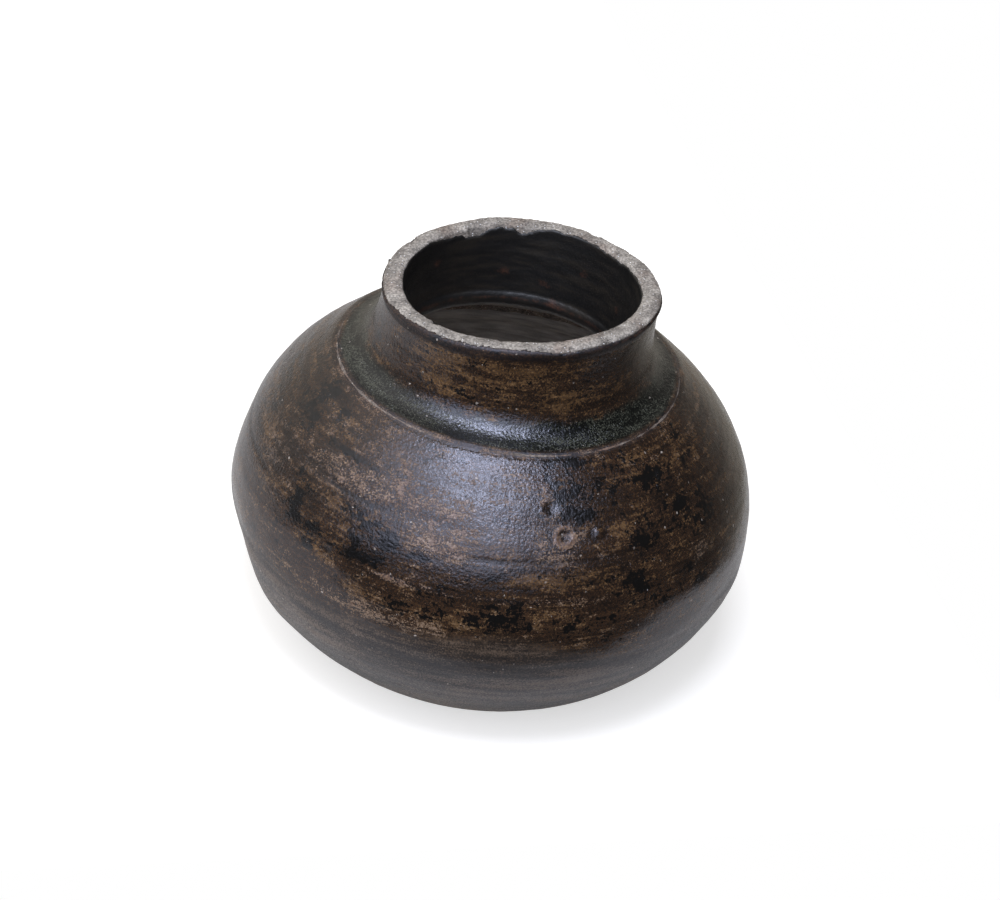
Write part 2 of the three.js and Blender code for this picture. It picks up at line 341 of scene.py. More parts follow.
# The neck is thrown with a thin flared foot, a drawn-in wall and a small lip. Its rim was wiped
# clean of glaze before the firing, so the coarse clay is bare there, pitted and a little chipped.
BORE_RADIUS = 26
FOOT_RADIUS = 34.3
WALL_FOOT_RADIUS = 30.9
WAIST_RADIUS = 29.8
RIM_RADIUS = 30.4
FOOT_EDGE = 0.2
FOOT_FILLET = 5
LIP_HEIGHT = 2.2
LIP_ROUND = 1
RIM_CROWN = 0.9
RIM_STEPS = 720
# The neck carries its rough rim from this height up. Below it the glaze hides the clay.
BARE_FROM = 85.5
# Chips and dents along the rim: azimuth, how far in from the outer edge, reach and depth
RIM_CHIPS = [
    (119, 4.3, 1.5, 0.4), (110, 4.2, 0.9, 0.3), (92, 4.3, 1.0, 0.3), (-118, 0.3, 0.8, 0.3),
    (-131, 0.4, 1.0, 0.3), (-48, 0.2, 1.0, 0.35), (-66, 0.3, 0.8, 0.4), (150, 0.5, 1.6, 0.3),
    (60, 0.4, 1.2, 0.3), (20, 4.1, 1.1, 0.3), (-96, 4.2, 0.8, 0.35), (230, 4.0, 1.0, 0.35),
]


def neck_outside(spacing):
    """The neck's outside, from its foot's thin edge up a fillet and the wall to the lip."""
    edge = NECK_BOTTOM + FOOT_EDGE
    wall_foot = edge + FOOT_FILLET
    waist = RIM_HEIGHT - LIP_ROUND - LIP_HEIGHT
    middle = (wall_foot + waist) / 2
    fillet = curve(
        spacing, (FOOT_RADIUS, edge), (WALL_FOOT_RADIUS + 0.3 * (FOOT_RADIUS - WALL_FOOT_RADIUS), edge),
        (WALL_FOOT_RADIUS, edge + 0.6 * FOOT_FILLET), (WALL_FOOT_RADIUS, wall_foot),
    )
    wall = curve(
        spacing, (WALL_FOOT_RADIUS, wall_foot),
        (WAIST_RADIUS + (WALL_FOOT_RADIUS - WAIST_RADIUS) / 3, wall_foot + (middle - wall_foot) * 2 / 3),
        (WAIST_RADIUS, waist - (waist - middle) * 2 / 3), (WAIST_RADIUS, waist),
    )
    lip = line(spacing, (WAIST_RADIUS, waist), (RIM_RADIUS, RIM_HEIGHT - LIP_ROUND))
    return fillet + wall[1:] + lip[1:]


crown = curve(
    0.3, (RIM_RADIUS, RIM_HEIGHT - LIP_ROUND), (RIM_RADIUS, RIM_HEIGHT + RIM_CROWN / 3),
    (BORE_RADIUS, RIM_HEIGHT + RIM_CROWN / 3), (BORE_RADIUS, RIM_HEIGHT - LIP_ROUND),
)
bare_rim = (
    between(neck_outside(0.35), BARE_FROM, RIM_HEIGHT - LIP_ROUND - 0.1)
    + crown
    + line(0.35, (BORE_RADIUS, RIM_HEIGHT - LIP_ROUND), (BORE_RADIUS, BARE_FROM + 0.5))[1:]
)
under_glaze = (
    line(4, (BORE_RADIUS, BARE_FROM - 1.5), (BORE_RADIUS, NECK_BOTTOM))
    + line(4, (BORE_RADIUS, NECK_BOTTOM), (FOOT_RADIUS, NECK_BOTTOM))[1:]
    + neck_outside(2.5)[:-2]
)
under_glaze = between(under_glaze, 0, BARE_FROM - 0.5)
neck = thrown("thrown_neck_with_bare_rim", bare_rim, under_glaze, RIM_STEPS)
places = vectors(neck, "co") * MM
x, y, z = places.T
angle, radius = np.arctan2(y, x), np.hypot(x, y)
pitted = 0.11 * grain(places, 0.8, 11) + 0.1 * grain(places, 1.8, 12) + 0.1 * grain(places, 5, 13)
raised = np.minimum(pitted - 0.13, -0.02)
for azimuth, inwards, reach, depth in RIM_CHIPS:
    middle = np.array((
        (RIM_RADIUS - inwards) * math.cos(math.radians(azimuth)),
        (RIM_RADIUS - inwards) * math.sin(math.radians(azimuth)),
        RIM_HEIGHT - 0.5,
    ))
    away = np.linalg.norm(places - middle, axis=1) / reach
    raised -= depth * ramped(1.3 - away + 0.3 * grain(places, 0.9, 14), 0, 0.6)
shaped(neck, values(neck, "shown") * ramped(z, BARE_FROM, BARE_FROM + 1.5) * raised)
rim_clay = bare_clay("bare_gritty_rim_stoneware", "#a9a195", "#777067", "#7a6353", "#f4f0ea", 0.75)
finished(neck, "neck", rim_clay)


# The outer coat is an iron-rich ash glaze, brushed and dipped on and fired until it ran a little.
# It went black-green where it pooled in the ledge and ran thick, brown and amber where it is
# thinner, and dull pinkish grey where hardly any stayed, as along the shoulder's sharp ring.
OUTER_GLAZE = 0.38
RING_GLAZE = 0.16
MEAN_RADIUS = 45
# How far a coat's edge is cut back: more than its thickness, so that it ends in the clay
LIP_CUT = 0.75
SKIRT_CUT = 0.55
# Heights of the level line over the body's seam, of the paler band round the belly and its half
# height, and of the edge of the thin coat low down, and how far the pool reaches from the ring
JOINT_LINE = 47.2
BELLY_BAND = 41
BELLY_HALF = 6
LOW_EDGE = 34
POOL_REACH = 6.2

clay_line = between(body_line(0.62), SKIRT_HEIGHT, SEAT_HEIGHT - 0.1)
skin = set_off(clay_line, OUTER_GLAZE)
skin = [point for point in skin if point.y < SEAT_HEIGHT - 0.6]
skin += [Vector((RING_RADIUS + RING_GLAZE + 0.12, SEAT_HEIGHT - 0.25, 0))]
# From the ring inwards the glaze lies in one smooth hollow that ends on the neck's wall.
wall_skin = set_off(neck_outside(0.55), OUTER_GLAZE)
wall_skin = [point for point in wall_skin if point.y > NECK_BOTTOM + 6]
skin += curve(
    0.5, (RING_RADIUS + RING_GLAZE - 0.1, SEAT_HEIGHT + 0.13), (35.3, NECK_BOTTOM + 0.45),
    (31.6, NECK_BOTTOM + 1.4), tuple(wall_skin[0].to_2d()),
)
skin += wall_skin[1:]
skin += set_off(crown[:7], 0.2)[1:]
back = between(set_off(body_line(6), -0.4), SKIRT_HEIGHT + 1, SEAT_HEIGHT - 1)
back += line(3, (RING_RADIUS - 1, SEAT_HEIGHT - 0.8), (FOOT_RADIUS, NECK_BOTTOM - 0.5))
back += between(set_off(neck_outside(4), -0.5), NECK_BOTTOM + 1, RIM_HEIGHT - 2)
back += [Vector((RIM_RADIUS - 1.4, RIM_HEIGHT - 0.9, 0))]
glaze = thrown("outer_iron_glaze", skin, back[::-1])

places = vectors(glaze, "co") * MM
x, y, z = places.T
angle, radius = np.arctan2(y, x), np.hypot(x, y)
along = values(glaze, "along")
shown = values(glaze, "shown") > 0.5
# A place on the wheel: round the jar at its mean radius, and along its section, in millimetres
wheel = np.stack([MEAN_RADIUS * np.cos(angle), MEAN_RADIUS * np.sin(angle), along], axis=1)
rows = lengths(skin)
heights = [point.y for point in skin]
RING_ALONG = np.interp(SEAT_HEIGHT, heights, rows)
LIP_ALONG = np.interp(RIM_HEIGHT - LIP_ROUND, heights, rows)


def spots(marks):
    """Soft-edged spots on the jar's outside: azimuth, height, half width, half length and strength.
    The length runs along the section."""
    total = np.zeros(len(along))
    for azimuth, height, wide, tall, strength in marks:
        up = (along - np.interp(height, heights, rows)) / tall
        total += strength * np.exp(-((turn_from(angle, azimuth) * radius / wide) ** 2) - up * up)
    return total


# Where the glaze ran thick and fired black. The spots at azimuth -69.5 and -75 high on the shoulder are
# also painted shade: they darken the glaze where the window's reflection ends on the right.
BLACK = [
    (-152, 65, 5, 5, 0.7), (-140, 68.6, 2.2, 1.6, 0.5), (-149.5, 69.8, 2, 1.2, 0.6),
    (-130, 64.4, 7.5, 0.8, 0.9), (-136.5, 54, 2.6, 4.6, 0.9), (-119, 55.4, 9, 2.6, 0.35),
    (-131.5, 49.6, 5, 2, 0.8), (-117, 49.6, 8, 2.2, 0.9), (-110.5, 54.6, 2.4, 1.8, 0.8),
    (-103, 53, 3.6, 1, 0.9), (-89, 51.5, 4.5, 4, 0.5), (-123, 58.6, 7, 0.7, 0.6),
    (-51.5, 56, 3, 4, 0.7), (-53, 49, 2.4, 3, 0.6), (-69, 71, 5, 1.6, 0.9), (-82, 42, 24, 4, 0.3),
    (-56, 40, 14, 5, 0.2), (-38, 45.5, 10, 4, 0.35), (-44, 66.6, 6, 2.4, 0.6), (-36, 60, 7, 7, 0.5),
    # Painted shade: the spots at -69.5 and -75 darken the glaze where the window's reflection ends.
    (-64, 63, 5, 2, 0.5), (-69.5, 65.5, 4.5, 4.5, 0.45), (-136, 66.5, 5, 2.5, 0.4),
    (-60, 67.6, 5, 1.4, 0.4), (-47, 69.5, 4, 1.2, 0.4), (-75, 61, 3, 2, 0.3), (10, 60, 9, 5, 0.5),
    (35, 52, 6, 9, 0.5), (62, 63, 9, 4, 0.5), (88, 55, 5, 8, 0.5), (110, 66, 8, 3, 0.5),
    (128, 49, 10, 4, 0.5), (150, 61, 7, 6, 0.5), (172, 54, 5, 6, 0.5), (190, 63, 8, 4, 0.4),
]
# Where it stayed thin and dull, with the clay's pale grains through it
DULL = [
    (-143, 60, 26, 11, 0.3), (-116, 65.2, 13, 4.5, 0.35), (-106, 62.5, 11, 5, 0.7),
    (-121, 60, 9, 3, 0.4), (-133, 62, 6, 2.4, 0.35), (-141, 67.4, 6, 1.4, 0.3),
    (-134, 67.6, 8, 1.2, 0.35), (-101, 56, 9, 3, 0.8), (-96, 59.5, 8, 4, 0.6),
    (-35, 50.1, 3.2, 2.6, 0.7), (-107, 38.2, 11, 2.2, 0.7), (-120, 38.4, 7, 1.6, 0.4),
    (-94, 54.4, 8, 1.2, 0.6), (-73.5, 56.4, 4.4, 2.6, 0.85), (-71, 59.2, 4.5, 2.6, 0.4),
    (-77, 59.6, 2, 3, 0.7), (-64, 55.6, 6, 1.2, 0.4), (-88, 67, 10, 3, 0.55), (-150, 56, 4, 5, 0.35),
    (-46, 66.6, 1.4, 0.8, 0.7), (-41, 68.5, 6, 1.0, 0.45), (-109, 47.4, 2.6, 0.8, 1.1),
    (0, 68, 12, 2, 0.5), (50, 58, 10, 4, 0.5), (75, 67, 12, 3, 0.6), (100, 60, 6, 5, 0.5),
    (140, 67, 10, 2.5, 0.6), (165, 47, 9, 3, 0.5),
]
# Where it broke to rust and amber
RUSTY = [
    (-139, 67.6, 4, 1.6, 0.5), (-133.5, 65.8, 5, 1.2, 0.4), (-119, 67.2, 8, 1.4, 0.45),
    (-126.5, 46.2, 3.4, 2.4, 0.7), (-111.5, 47.9, 3.2, 1.2, 0.6), (-115, 42, 6, 1.6, 0.7),
    (-91.5, 40.8, 3.6, 1.2, 0.9), (-85, 53.2, 6, 1.6, 0.5), (-76, 51.8, 6, 2.4, 0.7),
    (-64, 51.6, 8, 3, 0.6), (-119, 54, 9, 3, 0.35), (-57, 59.8, 3, 1.6, 0.8), (-49, 62, 3, 1.6, 0.6),
    (-44, 69.8, 7, 1.6, 0.6), (-31, 67.4, 5, 2.6, 0.4), (-22, 67, 5, 4, 0.2), (-130, 57, 7, 3, 0.35),
    (-124, 83, 6, 3, 0.6), (-147, 77.5, 3, 2, 0.3), (-114, 79.5, 6, 2.4, 0.5), (-93, 82, 9, 3, 0.3),
    (-72, 80.4, 7, 2, 0.4), (-56, 79.4, 9, 2.6, 0.4), (-40, 80, 6, 2, 0.3), (-68, 86, 14, 2.4, 0.4),
    (-100, 86, 14, 2.4, 0.45), (-122, 86, 8, 3, 0.5), (20, 66, 10, 4, 0.5), (45, 66, 7, 4, 0.5),
    (95, 50, 9, 3, 0.5), (120, 58, 8, 5, 0.5), (160, 67, 8, 3, 0.5), (182, 58, 5, 4, 0.5),
    (200, 56, 6, 4, 0.4), (30, 81, 12, 3, 0.4), (120, 81, 14, 3, 0.4),
]
# Level lines drawn by a tool or a hard brush while the jar turned: height, from one azimuth to
# another, depth and half width
LINES = [
    (54.9, -93, -47, -0.2, 0.3), (JOINT_LINE, -118, -52, 0.08, 0.3), (36.6, -131, -97, -0.12, 0.3),
    (64.6, -137, -123, -0.1, 0.5), (58.8, -131, -114, -0.14, 0.22), (35.2, -124, -100, -0.08, 0.25),
    (61, 30, 95, -0.12, 0.3), (44, 60, 170, -0.1, 0.3), (52, 175, 215, -0.14, 0.3),
]
# Burst blisters: azimuth, height, radius, depth, and how pale the crust round them is. One with a
# depth below zero still stands up.
BLISTERS = [
    (-74, 64.4, 1.5, 0.3, 0.5), (-71, 59.8, 1.3, 0.5, 1.3), (-62.5, 59.8, 1.9, -0.3, 0.1),
    (-76.3, 55.4, 0.6, 0.2, 0.4), (-57, 52.6, 0.7, 0.2, 0.5), (-124, 47.3, 0.7, 0.2, 0.6),
    (33, 57, 1.5, 0.3, 0.6), (105, 63, 1.3, 0.35, 0.8), (148, 56, 1.7, 0.3, 0.5),
]
drawn = np.zeros(len(along))
for height, start, end, depth, half in LINES:
    level = np.interp(height, heights, rows) + 0.3 * np.sin(angle * 3 + height)
    turn = np.degrees(angle) if end < 100 else np.mod(np.degrees(angle), 360)
    span = ramped(turn, start - 2, start + 2) * (1 - ramped(turn, end - 2, end + 2))
    drawn += depth * span * np.exp(-(((along - level) / half) ** 2))
blistered = np.zeros(len(along))
pits = np.zeros(len(along))
crust = np.zeros(len(along))
for azimuth, height, size, depth, pale in BLISTERS:
    across = turn_from(angle, azimuth) * radius
    away = np.hypot(across, along - np.interp(height, heights, rows)) / size
    brim = 0.4 * abs(depth) * np.exp(-(((away - 1.15) / 0.22) ** 2))
    blistered += -depth * (1 - ramped(away, 0.5, 0.95)) + brim
    blistered -= 0.25 * np.exp(-(((away - 0.85) / 0.2) ** 2))
    dark_floor = 0.7 * np.exp(-((away / 0.7) ** 2)) if depth > 0 else 0
    pits += np.exp(-(((away - 0.85) / 0.3) ** 2)) + dark_floor
    crust += pale * np.exp(-(((away - 1.55) / 0.45) ** 2))

# Patches that formed as the glaze melted, from six millimetres across down to two, and level streaks
# that the brush left. Each kept number is a share: at about 0.4 half of the place is covered.
blots = 0.55 * grain(places, 6.5, 41) + 0.6 * grain(places, 2.4, 42)
clouds = 0.5 * grain(places, 4, 43) + 0.6 * grain(places, 1.8, 44)
streaks = (
    0.4 * grain(wheel, (9, 9, 1.0), 45)
    + 0.4 * grain(wheel, (15, 15, 2), 47)
    + 0.4 * grain(wheel, (34, 34, 4), 46)
)
black = spots(BLACK)
dull = spots(DULL)
# The glaze pooled in the ledge, and hardly any stayed on the ring. Its pale edge is broken into
# short lengths, wider on the left and fainter on the right, and a thick run hides it at one place.
# Just below the ring the coat is thin too, but not in front.
upwards = along > RING_ALONG
pool_end = RING_ALONG + POOL_REACH
pool_edge = ramped(along + 1.5 * clouds, pool_end, pool_end + 2)
ledge = ramped(along, RING_ALONG + 0.3, RING_ALONG + 1.4) * (1 - pool_edge)
on_neck = ramped(along, RING_ALONG + 6.5, RING_ALONG + 9)
under_lip = ramped(along, LIP_ALONG - 3, LIP_ALONG - 1)
worn = 1 - np.clip(spots([(-69, 71.5, 6, 3, 1)]), 0, 1)
broken = 0.75 - 0.6 * ramped(angle, -1.1, -0.8) + 1.3 * grain(wheel, (2.6, 2.6, 40), 48)
broken = np.clip(broken, 0, 1)
ring_half = 0.6 + 0.7 * ramped(-angle, 1.9, 2.4)
edge = np.exp(-(((along - RING_ALONG + 0.1) / ring_half) ** 2))
ring = edge * worn * broken
beside = np.exp(-(((along - RING_ALONG + 1.6) / 1.6) ** 2))
beside = beside * ramped(np.abs(turn_from(angle, -92)), 0.3, 0.6)
# A pale broken line over the seam in front, a dusting on the ledge, the thin coat low down with its wavy
# edge, and the belly's paler band. Near azimuth -50 the edge dips three millimetres so that the dark coat
# reaches lower: painted shade, for the jar's shadow on the paper mirrored in the glaze.
line_up = np.interp(JOINT_LINE, heights, rows)
joint = np.exp(-(((along - line_up) / 0.4) ** 2)) * ramped(-np.abs(angle + 1.5), -0.6, -0.45)
snow = spots([(-66, 73, 11, 2.6, 0.3)]) * upwards
low_edge = (
    LOW_EDGE
    + 4 * np.exp(-((turn_from(angle, -85) / 0.4) ** 2))
    # Painted shade: this dip lets the dark coat stand in for the mirrored shadow on the paper.
    - 3 * np.exp(-((turn_from(angle, -50) / 0.35) ** 2))
)
brushed = 1 - ramped(z + 3 * streaks, low_edge - 1.5, low_edge + 2)
belly = np.exp(-(((z - BELLY_BAND) / BELLY_HALF) ** 2))
kept(
    glaze, "black",
    0.2 + 0.6 * black - 0.2 * dull + 0.55 * blots + 0.3 * streaks + 0.1 * under_lip - 0.7 * brushed,
)
kept(
    glaze, "rusty",
    0.24 + 0.42 * spots(RUSTY) + 0.34 * clouds + 0.2 * streaks - 0.04 * on_neck - 0.1 * under_lip,
)
kept(
    glaze, "dull",
    0.05 + 0.1 * belly + 0.36 * dull - 0.2 * black + 0.26 * ring + 0.08 * beside + 0.3 * joint
    + 0.5 * crust + snow + 0.3 * clouds - 0.14 * on_neck,
)
kept(glaze, "tone", -0.02 + 0.05 * belly + (0.1 + 0.15 * brushed) * streaks + 0.05 * blots)
kept(glaze, "brushed", brushed)
kept(glaze, "grainy", 0.3 + 0.7 * ramped(z, 45, 53))
kept(glaze, "matt", np.maximum(under_lip, edge))
kept(glaze, "pooled", ledge)
kept(glaze, "marked", np.clip(0.7 * pits - drawn / 0.14, 0, 1))

rings = 0.05 * grain(wheel, (60, 60, 1.6), 21) + 0.06 * grain(wheel, (90, 90, 4.5), 22)
uneven = 0.1 * grain(wheel, (11, 11, 5), 23) + 0.04 * grain(places, 2.2, 24)
raised = np.minimum(rings + uneven, 0.1) - 0.06 + drawn + blistered - 0.04 * ring
# The coat ends in a wavy skirt above the foot, and in a ragged edge where the rim was wiped. In
# front on the left it was left on as far as the rim's outer shoulder.
skirt = 2.9 + 0.5 * np.sin(angle * 2 + 0.6) + 0.5 * np.sin(angle * 5 + 1.8)
skirt += 0.4 * grain(wheel, (4, 4, 4), 26)
raised -= SKIRT_CUT * (1 - ramped(z, skirt - 0.35, skirt + 0.35)) * (z < 12)
wiped = LIP_ALONG - 0.4 + 0.5 * grain(wheel, (2.4, 2.4, 50), 27)
wiped += 0.4 * grain(wheel, (0.9, 0.9, 50), 28)
wiped += 1.5 * ramped(-np.abs(turn_from(angle, -115)), math.radians(-48), math.radians(-32))
raised -= LIP_CUT * ramped(along, wiped - 0.15, wiped + 0.3)
shaped(glaze, np.where(shown, raised, 0))

# How far the level hairs, which the brush drew, shift each kind of grain
STREAKY = 0.22
# Iron glaze fired in a wood kiln: brushed on, melted and run, so that it sets in crumbs and clouds
# from tenths of a millimetre up, drawn out in level streaks. The eye gets black, brown and amber
# mixed like burnt sugar, with a satin shine on the thick glaze and a dry, pale grain where it is
# thin. The finest grain, really a tenth of a millimetre, is drawn at a third of a millimetre.
outer_skin, tree = fresh("mottled_iron_glaze")
place = add(tree, "TexCoord")
mm = add(tree, "Mapping", {"Vector": place.outputs["Object"], "Scale": (MM, MM, MM)})
crumbs = add(tree, "TexNoise", {"Vector": mm, "Scale": 0.95, "Detail": 6.0, "Roughness": 0.72})
flecks = add(tree, "TexNoise", {"Vector": mm, "Scale": 1.7, "Detail": 4.0, "Roughness": 0.66})
grit = add(tree, "TexNoise", {"Vector": mm, "Scale": 2.8, "Detail": 3.0, "Roughness": 0.7})
clusters = add(tree, "Mix", {"Factor": 0.5, "A": crumbs.outputs["Fac"], "B": flecks.outputs["Fac"]})
seeds = add(tree, "Mix", {"Factor": 0.65, "A": crumbs.outputs["Fac"], "B": grit.outputs["Fac"]})
peel = add(tree, "TexNoise", {"Vector": mm, "Scale": 1.5, "Detail": 3.0})
level = add(tree, "Mapping", {"Vector": place.outputs["Object"], "Scale": (150, 150, 1300)})
hairs = add(tree, "TexNoise", {"Vector": level, "Scale": 1.0, "Detail": 4.0, "Roughness": 0.65})
clusters = add(tree, "Math", {0: hairs, 1: STREAKY, 2: clusters}, operation="MULTIPLY_ADD")
seeds = add(tree, "Math", {0: hairs, 1: STREAKY, 2: seeds}, operation="MULTIPLY_ADD")
gaps = add(tree, "Math", {0: hairs, 1: -STREAKY, 2: crumbs}, operation="MULTIPLY_ADD")
tone = add(tree, "Attribute", attribute_name="tone")
shade = add(tree, "Math", {0: grit, 1: 0.8, 2: tone.outputs["Fac"]}, operation="MULTIPLY_ADD")
shade = add(tree, "Math", {0: hairs, 1: 0.28, 2: shade}, operation="MULTIPLY_ADD")
brown = add(
    tree, "ValToRGB", {"Fac": shade}, stops=[(0.4, "#120e0b"), (0.52, "#271c14"), (0.64, "#453121")],
)
amber = add(
    tree, "ValToRGB", {"Fac": shade}, stops=[(0.4, "#2b1e13"), (0.52, "#4a3520"), (0.66, "#7a5e3f")],
)
pale = add(
    tree, "ValToRGB", {"Fac": shade}, stops=[(0.4, "#3a2a1f"), (0.52, "#5d4533"), (0.66, "#8f7862")],
)
# Amber, then dull, then black glaze covers the brown, each where its kept share lifts the grain over
# a threshold. Low down the coat is thin and even, and in the ledge it is a black-green pool.
colour = brown
covers = []
for name, weight, grains, low_end, high_end, tint in (
    ("rusty", 0.42, clusters, 0.745, 0.81, amber), ("dull", 0.42, seeds, 0.735, 0.825, pale),
    ("black", 0.5, gaps, 0.59, 0.645, linear("#0e0d0c")),
):
    cover = add(tree, "Attribute", attribute_name=name)
    cover = add(
        tree, "Math", {0: cover.outputs["Fac"], 1: weight, 2: grains}, operation="MULTIPLY_ADD",
    )
    cover = add(
        tree, "MapRange", {"Value": cover, "From Min": low_end, "From Max": high_end},
        interpolation_type="SMOOTHSTEP",
    )
    colour = add(tree, "Mix", {"Factor": cover, "A": colour, "B": tint}, data_type="RGBA")
    covers.append(cover)
warm, dry, thick = covers
low = add(tree, "Attribute", attribute_name="brushed")
low_brown = add(
    tree, "ValToRGB", {"Fac": shade}, stops=[(0.4, "#17120f"), (0.52, "#32281f"), (0.64, "#655546")],
)
colour = add(
    tree, "Mix", {"Factor": low.outputs["Fac"], "A": colour, "B": low_brown}, data_type="RGBA",
)
pool = add(tree, "Attribute", attribute_name="pooled")
green = add(
    tree, "ValToRGB", {"Fac": shade}, stops=[(0.44, "#040504"), (0.54, "#141612"), (0.64, "#47483d")],
)
colour = add(tree, "Mix", {"Factor": pool.outputs["Fac"], "A": colour, "B": green}, data_type="RGBA")
# Grains of unmelted ash, up to a third of a millimetre across, lie here and there. Blisters' floors
# and drawn lines are nearly black.
shifted = add(tree, "Mix", {"Factor": 0.45, "A": mm, "B": flecks.outputs["Color"]}, data_type="VECTOR")
cells = add(tree, "TexVoronoi", {"Vector": shifted, "Scale": 0.85})
picked = add(tree, "SeparateColor", {"Color": cells.outputs["Color"]})
rare = add(tree, "Math", {0: picked, 1: 0.6}, operation="GREATER_THAN")
reach = add(tree, "MapRange", {"Value": picked.outputs["Green"], "To Min": 0.03, "To Max": 0.13})
close = add(tree, "Math", {0: cells, 1: reach}, operation="LESS_THAN")
ash = add(tree, "Math", {0: rare, 1: close}, operation="MULTIPLY")
faint = add(tree, "MapRange", {"Value": picked.outputs["Blue"], "To Min": 0.25, "To Max": 1.0})
ash = add(tree, "Math", {0: ash, 1: faint}, operation="MULTIPLY")
colour = add(tree, "Mix", {"Factor": ash, "A": colour, "B": linear("#b3a89c")}, data_type="RGBA")
marked = add(tree, "Attribute", attribute_name="marked")
sunk = add(tree, "Math", {0: marked.outputs["Fac"], 1: 0.8}, operation="MULTIPLY")
colour = add(tree, "Mix", {"Factor": sunk, "A": colour, "B": linear("#0c0a09")}, data_type="RGBA")

# Thick and pooled glaze is glassy. Thin glaze, the brushed foot, the ring and the lip are drier.
matt = add(tree, "Attribute", attribute_name="matt")
rough = add(
    tree, "MapRange", {"Value": grit, "From Min": 0.4, "From Max": 0.6, "To Min": 0.28, "To Max": 0.12},
)
for share, more in (
    (dry, 0.08), (warm, 0.06), (thick, -0.08), (matt.outputs["Fac"], 0.35), (low.outputs["Fac"], 0.16),
    (pool.outputs["Fac"], -0.08),
):
    rough = add(tree, "Math", {0: share, 1: more, 2: rough}, operation="MULTIPLY_ADD")
rise = peel
for share, more in ((dry, 0.2), (grit, 0.35), (ash, 0.5)):
    rise = add(tree, "Math", {0: share, 1: more, 2: rise}, operation="MULTIPLY_ADD")
grainy = add(tree, "Attribute", attribute_name="grainy")
rise = add(tree, "Math", {0: rise, 1: grainy.outputs["Fac"]}, operation="MULTIPLY")
bump = add(tree, "Bump", {"Height": rise, "Distance": 0.00017, "Strength": 0.9})
coat = add(
    tree, "BsdfPrincipled",
    {
        "Base Color": colour, "Roughness": rough, "IOR": 1.6, "Specular Tint": linear("#f0f2ff"),
        "Normal": bump,
    },
)
add(tree, "OutputMaterial", {"Surface": coat})
finished(glaze, "outer_glaze", outer_skin)


# The lining was poured in, swilled round and poured out, so it covers the floor, the wall and the
# bore up to the wiped rim. It rounds off the bead of slip at the neck's foot.
INNER_GLAZE = 0.4
BEAD = 0.6
BEAD_BOTTOM = 70.6
BEAD_TOP = 74
UNDER_SEAT = 1.8
WALL_TOP = 67
# Rusty spots on the bore, as azimuth, height and half width
BORE_SPOTS = [
    (77, 77.5, 1.5), (56, 82.7, 1.5), (100, 79.2, 1.7), (70, 73.6, 1.8), (30, 80, 1.2), (140, 84, 1.4),
]

wall = between(set_off(body_line(1.0), -WALL - INNER_GLAZE), FLOOR + 1.5, WALL_TOP)
under_seat = curve(
    1.0, tuple(wall[-1].to_2d()), (34, 69.3), (30, 69.8),
    (BORE_RADIUS + 0.2, SEAT_HEIGHT - UNDER_SEAT - INNER_GLAZE),
)
bore = BORE_RADIUS - INNER_GLAZE
bulge = bore - BEAD - 0.1
bead = curve(
    0.3, (bore, BEAD_BOTTOM), (bulge, BEAD_BOTTOM + 0.4), (bulge, BEAD_TOP - 0.8), (bore, BEAD_TOP),
)
lining = (
    line(2.5, (0, FLOOR + INNER_GLAZE), (wall[0].x - 4, FLOOR + INNER_GLAZE), tuple(wall[0].to_2d()))
    + wall[1:]
    + under_seat[1:]
    + bead
    + line(0.5, (bore, BEAD_TOP), (bore, BEAD_TOP + 10), (BORE_RADIUS - 0.14, RIM_HEIGHT - LIP_ROUND))[1:]
    + set_off(crown[-6:][::-1], -0.12)[1:]
)
lining_back = (
    line(4, (BORE_RADIUS + 1.3, RIM_HEIGHT - 1), (BORE_RADIUS + 0.6, 88), (BORE_RADIUS + 0.6, 71.5))
    + between(set_off(body_line(6), -WALL + 0.4), FLOOR + 1, WALL_TOP - 1)[::-1]
    + line(6, (wall[0].x - 2, FLOOR - 0.5), (0, FLOOR - 0.5))
)
inner = thrown("poured_lining_glaze", lining, lining_back)
places = vectors(inner, "co") * MM
x, y, z = places.T
angle, radius = np.arctan2(y, x), np.hypot(x, y)
along = values(inner, "along")
wheel = np.stack([BORE_RADIUS * np.cos(angle), BORE_RADIUS * np.sin(angle), along], axis=1)
# Where the bore ends and the wiped lip begins, and the part of the lining on the bead and the bore
lip = lengths(lining)[-6]
on_bore = radius < BORE_RADIUS + 1
rust = np.exp(-(((z - 72.6) / 0.6) ** 2)) * on_bore * 0.45
for azimuth, height, half in BORE_SPOTS:
    away = np.hypot(turn_from(angle, azimuth) * radius, 1.3 * (z - height)) / half
    rust += 0.55 * np.exp(-away * away) * on_bore
rust += 0.3 * grain(places, 1.5, 35) * on_bore
kept(inner, "rusty", np.clip(rust, 0, 1))
# Painted light: below the bore the lining is painted paler, and the lower wall and the floor nearly
# white, where the window's light falls in through the mouth.
kept(inner, "painted_light_below_bore", 1 - ramped(z, 69.5, 71))
kept(inner, "painted_light_pool", 1 - ramped(z + 2 * grain(places, 9, 36), 36, 48))
thrown_rings = 0.3 * np.sin(z * 0.85 + 0.5 * np.sin(angle)) * (radius > 30) * (z > 12)
raised = thrown_rings + 0.08 * grain(wheel, (6, 6, 2), 31) + 0.05 * grain(places, 1.2, 32) - 0.05
wiped = lip + 0.1 + 0.5 * grain(wheel, (3.2, 3.2, 80), 33) + 0.3 * grain(wheel, (0.9, 0.9, 80), 34)
wiped += 0.7 * np.exp(-((turn_from(angle, 66) / 0.35) ** 2))
for azimuth, drop, reach in ((119, 2.1, 0.13), (134, 0.8, 0.08), (92, 1.3, 0.09)):
    ragged = 1 + 0.5 * grain(wheel, (2, 2, 80), azimuth)
    wiped -= drop * ragged * np.exp(-((turn_from(angle, azimuth) / reach) ** 2))
raised -= LIP_CUT * ramped(along, wiped - 0.15, wiped + 0.3)
shaped(inner, values(inner, "shown") * raised)
